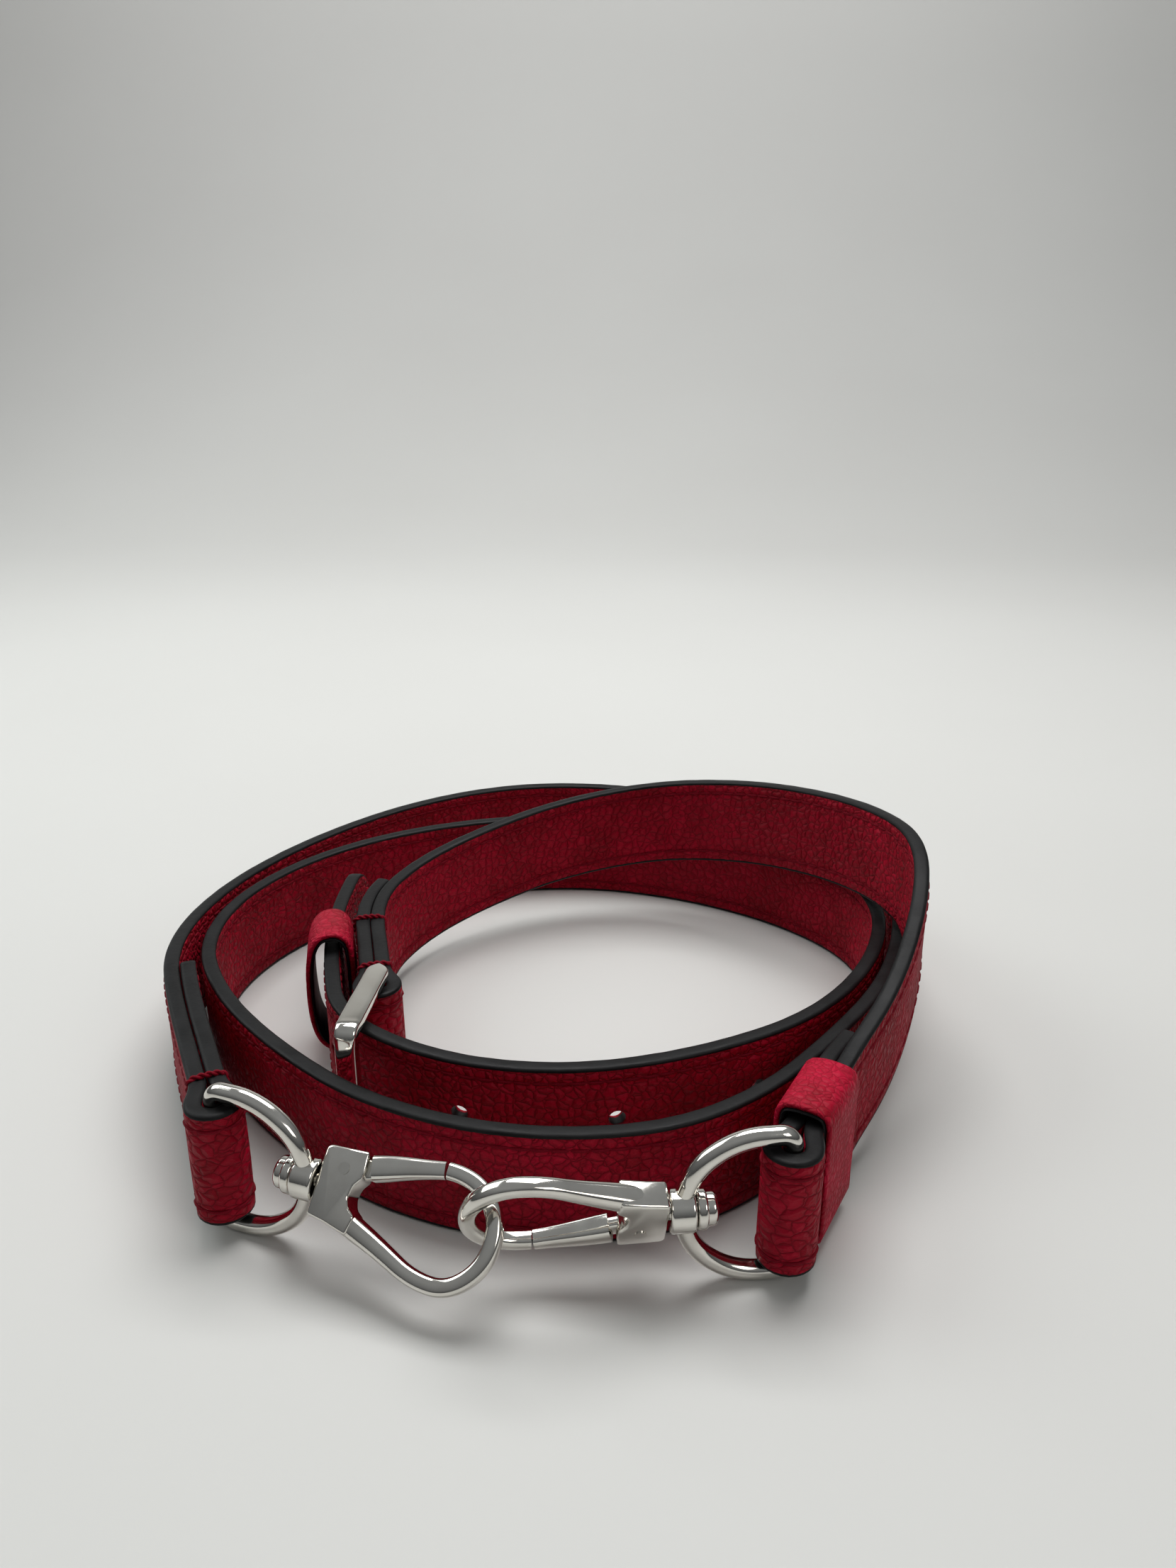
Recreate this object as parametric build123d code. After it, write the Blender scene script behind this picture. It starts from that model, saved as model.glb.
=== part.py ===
"""Leather shoulder strap, coiled on edge with its two snap hooks clipped together.

Frame: millimetres, +Z up, Z = 0 is the surface the coil stands on. +X runs to the right along the
hooks' side of the coil, +Y points from the hooks to the back of the coil.
"""
from build123d import *
from math import acos, asin, atan2, cos, degrees, pi, radians, sin, tan
import os

# ---------------------------------------------------------------- driving dimensions
STRAP_WIDTH = 20.0
LEATHER = 0.8                     # outer leather and lining, each
CORE = 1.2                        # stiffener between them
STRAP_THICK = 2 * LEATHER + CORE
LIFT = 3.4                        # how far rings and buckle hold the strap's ends off the surface
MID_Z = LIFT + STRAP_WIDTH / 2    # height of the rings, hooks and buckle
CROSSING_Z = STRAP_WIDTH + 1.1    # the short strap passes over the coil's edges at this height
PLAY = 0.3                        # clearance between pieces that move past each other

HOLE_R = 1.5
HOLE_PITCH = 26.0
HOLE_FIRST = 38.0                 # from the strap's tip to the first punched hole
HOLE_COUNT = 5
BUCKLE_HOLE = 1                   # the prong is in this one, counting from 0 at the tip

BAR_R = 1.5                       # round bars inside the leather folds
FOLD_GAP = 0.15                   # play of a bar inside its fold, and between strap and tab
FOLD_R = BAR_R + FOLD_GAP + STRAP_THICK / 2
FOLD_HALF = (STRAP_THICK + FOLD_GAP) / 2
FOLD_EASE = 5.0                   # radius of the bends that lead into a fold
TACK_LONG, TACK_HIGH, TACK_THICK = 1.4, 3.0, 0.45

WIRE_R = 1.5                      # round wire of the D-rings
RING_HALF = 11.8                  # half height of a ring along the middle of its wire
RING_OUT = 15.6                   # from the bar to the end of the ring's wire
RING_CORNERS = [(14.2, 7.0, 10.0), (8.0, RING_HALF, 12.0), (0.0, RING_HALF, 1.9)]
BOSS_AT, BOSS_R, BOSS_LONG = 16.0, 3.3, 3.8
POST_R = 1.3
WASHER_R, WASHER_LONG = 3.0, 1.6
HEAD_R, HEAD_LONG = 2.5, 1.5

HOOK_THICK, HOOK_SLIM = 4.2, 2.0     # at the base and round the end
SLIM_FROM, SLIM_TO = 11.0, 19.0
HOOK_BASE_X, HOOK_BASE_HALF = 2.2, 5.1
HOOK_END = (23.0, -2.1)           # centre of the hook's round end
HOOK_END_R, HOOK_WIRE = 9.1, 2.6
ARM_TURN, ARM_RUN = -107.5, 7.0    # where the round end starts, and its straight run before it
HOOK_NECK = (7.8, -1.5)           # centre of the small end of its opening
HOOK_NECK_R = 0.9
GATE_PIN = (6.1, 2.5)
GATE_PIN_R = 0.9
GATE_ROUND = 3.6                  # radius of the hook's cheeks about the gate pin
GATE_SEAM = [(20.0, 8.6), (23.2, 4.45)]
GATE_TAIL = 1.0                   # half thickness of the gate's tail between the cheeks

FRAME_LONG = 18.6                 # buckle, from heel bar to front bar
FRAME_HALF = STRAP_WIDTH / 2 + 0.5
FRAME_RAIL, FRAME_FRONT = 2.4, 4.2
FRAME_THICK = 3.6
PRONG_R = 0.9
PRONG_SLOT = 2.8                  # height of the slot in the fold and strap for the prong

KEEPER_WALL = 1.3
LOOP_LONG, LOOP_BACK = 10.0, 15.0   # keeper behind the buckle, and how far back it is from the fold
LOOP_DEEP = 5.3
SLEEVE_LONG, SLEEVE_BACK = 12.0, 1.0
TACK_BACK, TACK_FAR = 2.0, 22.0
CENTRE = (-7.3, -9.36)            # middle of the whole object in the plan below

# ---------------------------------------------------------------- places
LEFT_BAR = (-56.9, -73.9)
LEFT_YAW = -20.0
LEFT_ROLL = 45.6                  # turn of the gate side up from level, about the swivel
RIGHT_BAR = (29.4, -84.7)
RIGHT_YAW = 185.9
RIGHT_ROLL = -113.0
BUCKLE_BAR = (-38.0, -38.5)
BUCKLE_FRONT = (-39.8, -57.0)

# The long strap, from its pointed tip to the left ring, as the corners of its centreline.
LONG_TIP = [(-50.6, 17.0), (-51.6, 0.0), (-50.2, -18.0), (-47.6, -32.0), (-43.6, -47.0)]
LONG_RAMP = [(-33.0, -55.5), (-18.0, -59.6)]
LONG_COIL = [
    (0.0, -60.0), (20.0, -54.6), (40.0, -43.4), (54.5, -24.5), (62.0, -2.0), (59.0, 16.0),
    (45.0, 33.0), (24.0, 46.0), (1.0, 52.6), (-22.0, 51.0), (-45.0, 42.6), (-64.0, 27.0),
    (-75.6, 6.0), (-76.6, -16.0), (-67.6, -35.4), (-53.0, -53.0), (-35.4, -68.4),
    (-13.0, -77.0), (10.5, -76.4), (27.6, -66.8), (41.6, -50.8), (55.2, -32.0), (64.0, -10.0),
    (67.4, 12.0), (62.0, 34.0), (47.0, 53.0), (25.0, 68.6), (0.0, 76.4), (-24.0, 74.0),
    (-46.0, 61.0), (-64.0, 41.0), (-76.6, 19.0),
]
LONG_RISE = [(-81.6, -3.0), (-80.0, -24.0)]
LONG_END = [(-74.4, -40.0)]

# The short strap, from the right ring over the coil to the buckle.
SHORT_START = [(41.2, -63.0)]
SHORT_CLIMB = [(52.6, -47.8), (60.6, -32.0)]
SHORT_TOP = [
    (64.6, -14.6), (61.6, 1.6), (52.0, 17.6), (37.0, 31.6), (17.0, 40.6), (-6.0, 38.4), (-25.0, 27.6),
    (-38.4, 14.6),
]
SHORT_END = [(-44.4, -3.4)]


# ---------------------------------------------------------------- flat paths of runs and arcs
def unit(degrees_from_x):
    return Vector(cos(radians(degrees_from_x)), sin(radians(degrees_from_x)))


def left_of(direction):
    return Vector(-direction.Y, direction.X)


class Run:
    """A straight stretch of a path."""

    def __init__(self, start, end):
        self.start, self.end = start, end
        self.length = (end - start).length

    def edge(self, offset):
        side = left_of((self.end - self.start).normalized()) * offset
        return Line(self.start + side, self.end + side)

    def at(self, distance):
        heading = (self.end - self.start).normalized()
        return self.start + heading * distance, heading


class Bend:
    """A circular stretch of a path: turn is 1 to the left and -1 to the right."""

    def __init__(self, centre, start, end, turn):
        self.centre, self.start, self.end, self.turn = centre, start, end, turn
        self.radius = (start - centre).length
        self.first = atan2(start.Y - centre.Y, start.X - centre.X)
        last = atan2(end.Y - centre.Y, end.X - centre.X)
        self.sweep = turn * (((last - self.first) * turn) % (2 * pi))
        self.length = self.radius * abs(self.sweep)

    def point(self, share, offset):
        angle = self.first + self.sweep * share
        reach = self.radius - self.turn * offset
        return self.centre + Vector(cos(angle), sin(angle)) * reach

    def edge(self, offset):
        return ThreePointArc(self.point(0, offset), self.point(0.5, offset), self.point(1, offset))

    def at(self, distance):
        share = distance / self.length
        outward = (self.point(share, 0) - self.centre).normalized()
        return self.point(share, 0), left_of(outward) * self.turn


def smooth(corners):
    """Runs joined by tangent arcs as large as the two runs at each corner allow."""
    points = [Vector(*corner) for corner in corners]
    legs, here = [], points[0]
    for before, corner, after in zip(points, points[1:], points[2:]):
        into, out = (corner - before).normalized(), (after - corner).normalized()
        half_turn = acos(max(-1.0, min(1.0, into.dot(out)))) / 2
        reach = 0.45 * min((corner - before).length, (after - corner).length)
        radius = reach / tan(half_turn)
        turn = 1 if into.cross(out).Z > 0 else -1
        start, end = corner - into * reach, corner + out * reach
        legs.append(Run(here, start))
        legs.append(Bend(start + left_of(into) * radius * turn, start, end, turn))
        here = end
    legs.append(Run(here, points[-1]))
    return legs


def heading_into(corner, bar, side):
    """Heading of the straight run that starts at a corner and ends beside a bar, ready to fold."""
    reach = Vector(*bar) - Vector(*corner)
    aside = degrees(asin(side * FOLD_HALF / reach.length))
    return reach.normalized().rotate(Axis.Z, -aside)


def fold_entry(bar, heading, side):
    """Where a strap starts to open around a bar; its tab comes back on the given side."""
    back = ((FOLD_R + FOLD_EASE) ** 2 - (FOLD_HALF + FOLD_EASE) ** 2) ** 0.5
    return Vector(*bar) - heading * back - left_of(heading) * side * FOLD_HALF


def fold(bar, heading, side):
    """The loop of a strap around a bar, from the strap to where its tab begins."""
    middle, across = Vector(*bar), left_of(heading) * side
    back = ((FOLD_R + FOLD_EASE) ** 2 - (FOLD_HALF + FOLD_EASE) ** 2) ** 0.5
    share = FOLD_R / (FOLD_R + FOLD_EASE)
    centres = [middle - heading * back + across * s * (FOLD_HALF + FOLD_EASE) for s in (-1, 1)]
    ends = [middle - heading * back + across * s * FOLD_HALF for s in (-1, 1)]
    touch = [middle + (centre - middle) * share for centre in centres]
    return [
        Bend(centres[0], ends[0], touch[0], -side),
        Bend(middle, touch[0], touch[1], side),
        Bend(centres[1], touch[1], ends[1], -side),
    ]


def ribbon(legs, near, far):
    """The flat outline of a path's stretch between two offsets to its left."""
    one = [leg.edge(near) for leg in legs if leg.length > 1e-6]
    other = [leg.edge(far) for leg in legs if leg.length > 1e-6]
    caps = [Line(one[0] @ 0, other[0] @ 0), Line(one[-1] @ 1, other[-1] @ 1)]
    return make_face(Wire([*one, *other, *caps]))


def wall(legs, near, far, base):
    """A standing band one strap width high on a level or sloping base plane."""
    origin, up = base
    tall = Pos(0, 0, -40) * extrude(ribbon(legs, near, far), 140)
    above = split(tall, bisect_by=Plane(origin=origin, z_dir=up), keep=Keep.TOP)
    top = Plane(origin=origin + Vector(0, 0, STRAP_WIDTH), z_dir=up)
    return split(above, bisect_by=top, keep=Keep.BOTTOM)


def level(z):
    return Vector(0, 0, z), Vector(0, 0, 1)


def slope(legs, low_z, high_z, low_first, uphill=None):
    """A base plane through both ends of a stretch, level across its low end or along uphill."""
    start, end = ends_of(legs)
    low, high = (start, end) if low_first else (end, start)
    if uphill is None:
        uphill = legs[0].at(0)[1] if low_first else legs[-1].at(legs[-1].length)[1] * -1
    grade = (high_z - low_z) / (high - low).dot(uphill)
    up = Vector(-uphill.X * grade, -uphill.Y * grade, 1).normalized()
    return Vector(low.X, low.Y, low_z), up


def sections(groups, end):
    """The legs of a whole strap, cut after the last bend of each group of corners."""
    legs = smooth([corner for group in groups for corner in group] + [(end.X, end.Y)])
    cuts, count = [0], 0
    for group in groups[:-1]:
        count += len(group)
        cuts.append(2 * (count - 1))
    cuts.append(len(legs))
    return [legs[first:last] for first, last in zip(cuts, cuts[1:])]


def length_of(legs):
    return sum(leg.length for leg in legs)


def ends_of(legs):
    return legs[0].at(0)[0], legs[-1].at(legs[-1].length)[0]


# ---------------------------------------------------------------- the two straps
OUTER = (-STRAP_THICK / 2, -CORE / 2)
MIDDLE = (-CORE / 2, CORE / 2)
LINING = (CORE / 2, STRAP_THICK / 2)
LAYERS = {"outer": OUTER, "core": MIDDLE, "lining": LINING}

left_heading = heading_into(LONG_END[-1], LEFT_BAR, 1)
right_heading = heading_into(SHORT_START[0], RIGHT_BAR, -1)
buckle_heading = heading_into(SHORT_END[-1], BUCKLE_BAR, -1)
right_entry = fold_entry(RIGHT_BAR, right_heading, -1)

long_parts = sections(
    [LONG_TIP, LONG_RAMP, LONG_COIL, LONG_RISE, LONG_END],
    fold_entry(LEFT_BAR, left_heading, 1),
)
short_parts = sections(
    [[(right_entry.X, right_entry.Y)] + SHORT_START, SHORT_CLIMB, SHORT_TOP, SHORT_END],
    fold_entry(BUCKLE_BAR, buckle_heading, -1),
)


def tab(legs, near, far, shift):
    """The end of a strap that comes back along it from a fold, as long as its level stretch."""
    return wall(legs, 2 * shift - far, 2 * shift - near, level(LIFT))


def long_layer(near, far):
    tip, ramp, coil, rise, end = long_parts
    pieces = [
        wall(tip, near, far, level(LIFT)),
        wall(ramp, near, far, slope(ramp, 0, LIFT, False)),
        wall(coil, near, far, level(0)),
        wall(rise, near, far, slope(rise, 0, LIFT, True)),
        wall(end, near, far, level(LIFT)),
        wall(fold(LEFT_BAR, left_heading, 1), near, far, level(LIFT)),
        tab(end, near, far, FOLD_HALF),
    ]
    return Part() + pieces


def short_layer(near, far):
    start, climb, top, end = short_parts
    pieces = [
        tab(start, near, far, FOLD_HALF),
        wall(fold(RIGHT_BAR, right_heading, -1), -far, -near, level(LIFT)),
        wall(start, near, far, level(LIFT)),
        wall(climb, near, far, slope(climb, LIFT, CROSSING_Z, True)),
        wall(top, near, far, slope(top, LIFT, CROSSING_Z, False, Vector(1, 0))),
        wall(end, near, far, level(LIFT)),
        wall(fold(BUCKLE_BAR, buckle_heading, -1), near, far, level(LIFT)),
        tab(end, near, far, -FOLD_HALF),
    ]
    return Part() + pieces


def along(legs, distance):
    """The point and heading at a distance from a path's start."""
    for leg in legs:
        if distance <= leg.length:
            return leg.at(distance)
        distance -= leg.length
    return legs[-1].at(legs[-1].length)


def aim(place, z=MID_Z):
    """A frame at a place on a path: x along the strap, y to its left, z up."""
    point, heading = place
    return Pos(point.X, point.Y, z) * Rot(0, 0, degrees(atan2(heading.Y, heading.X)))


FRAME_TURN = degrees(atan2(BUCKLE_FRONT[1] - BUCKLE_BAR[1], BUCKLE_FRONT[0] - BUCKLE_BAR[0]))
BUCKLE = Pos(*BUCKLE_BAR, MID_Z) * Rot(0, 0, FRAME_TURN)
FOLD_TURN = degrees(atan2(buckle_heading.Y, buckle_heading.X))


def punched_holes():
    legs = [leg for part in long_parts for leg in part]
    rod = Rot(90, 0, 0) * Cylinder(HOLE_R, 4 * STRAP_THICK)
    holes = []
    for number in range(HOLE_COUNT):
        z = MID_Z if number <= BUCKLE_HOLE else STRAP_WIDTH / 2
        holes.append(aim(along(legs, HOLE_FIRST + HOLE_PITCH * number), z) * rod)
    reach = FRAME_LONG + PRONG_R
    holes.append(BUCKLE * Pos(reach / 2, -2.5, 0) * Box(reach, 4.4, PRONG_SLOT))
    return holes


def tip_cut():
    """What is cut away to round the long strap's tip."""
    half = STRAP_WIDTH / 2
    blank = Pos(half / 2 - 1, 0, 0) * Box(half + 2, 4 * STRAP_THICK, 2 * STRAP_WIDTH)
    nose = Pos(half, 0, 0) * Rot(90, 0, 0) * Cylinder(half, 5 * STRAP_THICK)
    return aim(long_parts[0][0].at(0)) * (blank - nose)


def long_strap(near, far):
    return long_layer(near, far) - tip_cut() - punched_holes()


def short_strap(near, far):
    slot = Box(4 * FOLD_R, 4 * FOLD_R, PRONG_SLOT)
    return short_layer(near, far) - Pos(*BUCKLE_BAR, MID_Z) * Rot(0, 0, FOLD_TURN) * slot


def tack(place, side, z=MID_Z):
    """A few turns of thread over the top edge of a strap and its tab."""
    wide = 2 * STRAP_THICK + FOLD_GAP + 2 * TACK_THICK
    across = side * FOLD_HALF
    bridge = Pos(0, across, STRAP_WIDTH / 2 - TACK_HIGH / 2 + TACK_THICK)
    staple = bridge * Box(TACK_LONG, wide, TACK_HIGH)
    room = Box(2 * TACK_LONG, wide - 2 * TACK_THICK, STRAP_WIDTH)
    return aim(place, z) * (staple - Pos(0, across, 0) * room)


# ---------------------------------------------------------------- rings, swivels and hooks
def ring():
    lower = [(x, -z, radius) for x, z, radius in RING_CORNERS]
    upper = list(reversed(RING_CORNERS))
    inner_end = 0.75 * BOSS_R
    points = [(RING_OUT, -inner_end)] + [(x, z) for x, z, _ in lower + upper] + [(RING_OUT, inner_end)]
    path = Plane.XZ * FilletPolyline(*points, radius=[radius for *_, radius in lower + upper])
    wire = sweep(Plane(origin=path @ 0, z_dir=path % 0) * Circle(WIRE_R), path=path)
    boss = Pos(BOSS_AT, 0, 0) * Rot(0, 90, 0) * fillet(Cylinder(BOSS_R, BOSS_LONG).edges().filter_by(
        GeomType.CIRCLE), 0.5)
    bore = Pos(BOSS_AT, 0, 0) * Rot(0, 90, 0) * Cylinder(POST_R + PLAY / 2, 2 * BOSS_LONG)
    return wire + boss - bore


def turned(radius, start, end):
    """A round part on the swivel axis."""
    return Pos((start + end) / 2, 0, 0) * Rot(0, 90, 0) * Cylinder(radius, end - start)


WASHER_FACE = -BOSS_LONG / 2 - PLAY / 2
HEAD_FACE = WASHER_FACE - WASHER_LONG
POST_IN_HOOK = 1.3


def washer():
    blank = turned(WASHER_R, HEAD_FACE, WASHER_FACE)
    blank = fillet(blank.edges().filter_by(GeomType.CIRCLE), 0.5)
    return blank - turned(POST_R, HEAD_FACE - 1, WASHER_FACE + 1)


def rivet():
    head = turned(HEAD_R, HEAD_FACE - HEAD_LONG, HEAD_FACE)
    head = fillet(head.edges().filter_by(GeomType.CIRCLE).sort_by(Axis.X)[0], 0.7)
    return head + turned(POST_R, HEAD_FACE, HOOK_BASE_X + POST_IN_HOOK)


def hook_outline():
    base = Pos(HOOK_BASE_X + 2.5, 0) * Rectangle(5, 2 * HOOK_BASE_HALF)
    end = Pos(*HOOK_END) * Circle(HOOK_END_R)
    opening = make_hull([
        *(Pos(*HOOK_NECK) * Circle(HOOK_NECK_R)).edges(),
        *(Pos(*HOOK_END) * Circle(HOOK_END_R - HOOK_WIRE)).edges(),
    ])
    return make_hull([*base.edges(), *end.edges()]) - opening


def gate_zone(gap):
    (x1, y1), (x2, y2) = GATE_SEAM
    left = HOOK_NECK[0] + 0.2
    corners = [(x1 - gap, y1), (x2 - gap, y2), (x2 - gap, 3.4), (19, 1), (left, HOOK_NECK[1]), (left, y1)]
    return make_face(Polyline(*corners, close=True))


def slimmed(flat):
    """A hook outline given its thickness: full at the base and slimmer towards the round end."""
    full, slim = HOOK_THICK / 2, HOOK_SLIM / 2
    side = [(0, -full), (SLIM_FROM, -full), (SLIM_TO, -slim), (40, -slim),
            (40, slim), (SLIM_TO, slim), (SLIM_FROM, full), (0, full)]
    plan = Plane.XZ * make_face(Polyline(*side, close=True))
    return extrude(flat, HOOK_THICK, both=True) & extrude(plan, 30, both=True)


def round_end():
    """The round wire of the hook's end, with the stretch that runs into the arm."""
    reach = HOOK_END_R - HOOK_WIRE / 2
    centre = Vector(*HOOK_END)
    first, middle, last = [centre + unit(angle) * reach for angle in (ARM_TURN, -4.0, 100.0)]
    arm = Line(first - unit(ARM_TURN + 90) * ARM_RUN, first)
    path = Curve() + [arm, ThreePointArc(first, middle, last)]
    return sweep(Plane(origin=path @ 0, z_dir=path % 0) * Circle(HOOK_WIRE / 2), path=path)


def hook_body():
    pin = Pos(*GATE_PIN)
    free = gate_zone(0) - pin * Circle(GATE_ROUND)
    plate = slimmed(hook_outline() - free - Pos(SLIM_TO + 20, 0) * Rectangle(40, 60))
    body = plate + (round_end() - extrude(free, HOOK_THICK, both=True))
    slot = Pos(7.0, 1.9, 0) * Box(6.2, 5.6, 2 * GATE_TAIL + PLAY)
    hole = pin * Cylinder(GATE_PIN_R, 2 * HOOK_THICK)
    socket = turned(POST_R, 0, HOOK_BASE_X + POST_IN_HOOK)
    return body - slot - hole - socket


def gate():
    pin = Pos(*GATE_PIN)
    flat = (hook_outline() & gate_zone(PLAY)) - pin * Circle(GATE_ROUND + PLAY)
    tail = make_hull([
        *(pin * Circle(2.0)).edges(),
        *(Pos(GATE_PIN[0] + 4.6, GATE_PIN[1] + 0.4) * Circle(1.6)).edges(),
    ])
    blade = slimmed(flat) + extrude(tail, GATE_TAIL, both=True)
    return blade - pin * Cylinder(GATE_PIN_R + 0.1, 2 * HOOK_THICK)


def gate_pin():
    return Pos(*GATE_PIN) * Cylinder(GATE_PIN_R, HOOK_THICK + 0.3)


# ---------------------------------------------------------------- buckle and keepers
def buckle_frame():
    tall = 2 * (FRAME_HALF + FRAME_RAIL)
    start, stop = -FRAME_THICK / 2, FRAME_LONG + FRAME_FRONT / 2
    outside = Pos((start + stop) / 2, 0, 0) * Box(stop - start, FRAME_THICK, tall)
    outside = fillet(outside.edges().filter_by(Axis.Z), FRAME_THICK * 0.45)
    inner = FRAME_LONG - FRAME_FRONT / 2
    window = Pos(inner - 20, 0, 0) * Box(40, 2 * FRAME_THICK, 2 * FRAME_HALF)
    frame = outside - window + Cylinder(BAR_R, 2 * FRAME_HALF + 1)
    return fillet([edge for edge in frame.edges() if abs((edge @ 0.5).Y) > 0.47 * FRAME_THICK], 0.7)


def prong():
    loop = Cylinder(BAR_R + PLAY / 2 + 1.1, 2 * PRONG_R + 0.4)
    start, end = Vector(0, -BAR_R - 0.9, 0), Vector(FRAME_LONG + 0.6, -FRAME_THICK / 2 - PRONG_R - 0.1, 0)
    step = end - start
    rod = Plane(origin=(start + end) * 0.5, z_dir=step.normalized()).location * Cylinder(PRONG_R, step.length)
    nose = Pos(*end) * Sphere(PRONG_R)
    return loop + rod + nose - Cylinder(BAR_R + PLAY / 2, 10)


def keeper(near, far, long):
    """A band around everything between two offsets to the strap's left."""
    deep, tall = far - near, STRAP_WIDTH + 2 * PLAY
    outside = Box(long, deep + 2 * KEEPER_WALL, tall + 2 * KEEPER_WALL)
    outside = fillet(outside.edges().filter_by(Axis.X), 1.2 * KEEPER_WALL)
    room = fillet(Box(2 * long, deep, tall).edges().filter_by(Axis.X), 0.4)
    return Pos(0, (near + far) / 2, 0) * (outside - room)


# ---------------------------------------------------------------- assembly
LEFT_RING = Pos(*LEFT_BAR, MID_Z) * Rot(0, 0, LEFT_YAW)
RIGHT_RING = Pos(*RIGHT_BAR, MID_Z) * Rot(0, 0, RIGHT_YAW)
LEFT_HOOK = LEFT_RING * Pos(BOSS_AT, 0, 0) * Rot(LEFT_ROLL, 0, 0)
RIGHT_HOOK = RIGHT_RING * Pos(BOSS_AT, 0, 0) * Rot(RIGHT_ROLL, 0, 0)

nodes = {}
for layer, (near, far) in LAYERS.items():
    nodes["long_strap_" + layer] = long_strap(near, far)
    nodes["short_strap_" + layer] = short_strap(near, far)

long_end, short_start, short_end = long_parts[-1], short_parts[0], short_parts[-1]
nodes["tack_left_ring"] = tack(along(long_end, length_of(long_end) - TACK_BACK), 1)
nodes["tack_buckle_front"] = tack(along(short_end, length_of(short_end) - TACK_BACK), -1)
nodes["tack_buckle_rear"] = tack(along(short_end, length_of(short_end) - TACK_FAR), -1)
for side, at_ring, at_hook in (("left", LEFT_RING, LEFT_HOOK), ("right", RIGHT_RING, RIGHT_HOOK)):
    nodes["ring_" + side] = at_ring * ring()
    nodes["swivel_washer_" + side] = at_hook * washer()
    nodes["swivel_rivet_" + side] = at_hook * rivet()
    nodes["hook_" + side] = at_hook * hook_body()
    nodes["gate_" + side] = at_hook * gate()
    nodes["gate_pin_" + side] = at_hook * gate_pin()
nodes["buckle_frame"] = BUCKLE * buckle_frame()
nodes["buckle_prong"] = BUCKLE * prong()
loop_place = along(short_end, length_of(short_end) - LOOP_BACK)
tab_face = -2 * FOLD_HALF - STRAP_THICK / 2
nodes["keeper_loop"] = aim(loop_place) * keeper(
    tab_face - KEEPER_WALL - 0.05 - LOOP_DEEP, tab_face - KEEPER_WALL - 0.05, LOOP_LONG)
sleeve_place = along(short_start, SLEEVE_BACK + SLEEVE_LONG / 2)
nodes["keeper_sleeve"] = aim(sleeve_place) * keeper(
    -STRAP_THICK / 2 - PLAY, 2 * FOLD_HALF + STRAP_THICK / 2 + PLAY, SLEEVE_LONG)

os.makedirs("parts", exist_ok=True)
for name, shape in nodes.items():
    export_step(Pos(-CENTRE[0], -CENTRE[1], 0) * shape, "parts/" + name + ".step")
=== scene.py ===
"""Visual model of a coiled red leather shoulder strap, built around its CAD frame.

The object's sizes and routes and the camera's place are in millimetres, and MM turns them into the
frame's metres. Textures, the tabletop and the lamps are in metres.
"""

from math import asin, copysign, cos, pi, radians, sin, sqrt

import bmesh
import bpy
from mathutils import Matrix, Vector, noise


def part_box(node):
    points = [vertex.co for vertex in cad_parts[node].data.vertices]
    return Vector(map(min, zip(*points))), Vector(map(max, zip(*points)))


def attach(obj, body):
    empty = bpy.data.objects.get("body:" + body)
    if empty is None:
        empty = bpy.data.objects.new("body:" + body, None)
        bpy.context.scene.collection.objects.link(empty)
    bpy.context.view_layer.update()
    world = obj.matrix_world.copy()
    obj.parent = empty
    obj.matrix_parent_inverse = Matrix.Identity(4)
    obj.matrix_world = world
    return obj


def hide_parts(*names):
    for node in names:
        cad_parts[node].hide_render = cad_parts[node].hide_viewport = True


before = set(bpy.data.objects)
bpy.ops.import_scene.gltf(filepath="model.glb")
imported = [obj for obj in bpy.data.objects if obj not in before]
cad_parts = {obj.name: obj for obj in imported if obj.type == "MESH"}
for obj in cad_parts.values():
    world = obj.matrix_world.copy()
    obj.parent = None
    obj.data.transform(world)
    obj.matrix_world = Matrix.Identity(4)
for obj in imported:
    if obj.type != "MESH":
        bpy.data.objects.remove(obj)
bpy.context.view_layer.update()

MM = 0.001
PLAN_SHIFT = Vector((7.3, 9.36, 0.0))     # from the plan that the routes are drawn in to the frame

# ---------------------------------------------------------------- sizes of the leather work
WIDTH = 20.0                      # strap, edge to edge
THICK = 2.8
HALF = THICK / 2
RIM = 0.55                        # edge paint that shows beyond the leather face
SEAM = 2.7                        # stitch line from the edge
STITCH = 3.0                      # one stitch and the gap after it
LIFT = 3.4                        # the strap's ends stand this high on their hardware
BAR_HIGH = LIFT + WIDTH / 2
FOLD_R = 3.05                     # middle of the strap round a bar
FOLD_HALF = 1.475                 # half the distance between a strap and its tab

LEFT_BAR = Vector((-56.9, -73.9))
RIGHT_BAR = Vector((29.4, -84.7))
BUCKLE_BAR = Vector((-38.0, -38.5))

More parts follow.
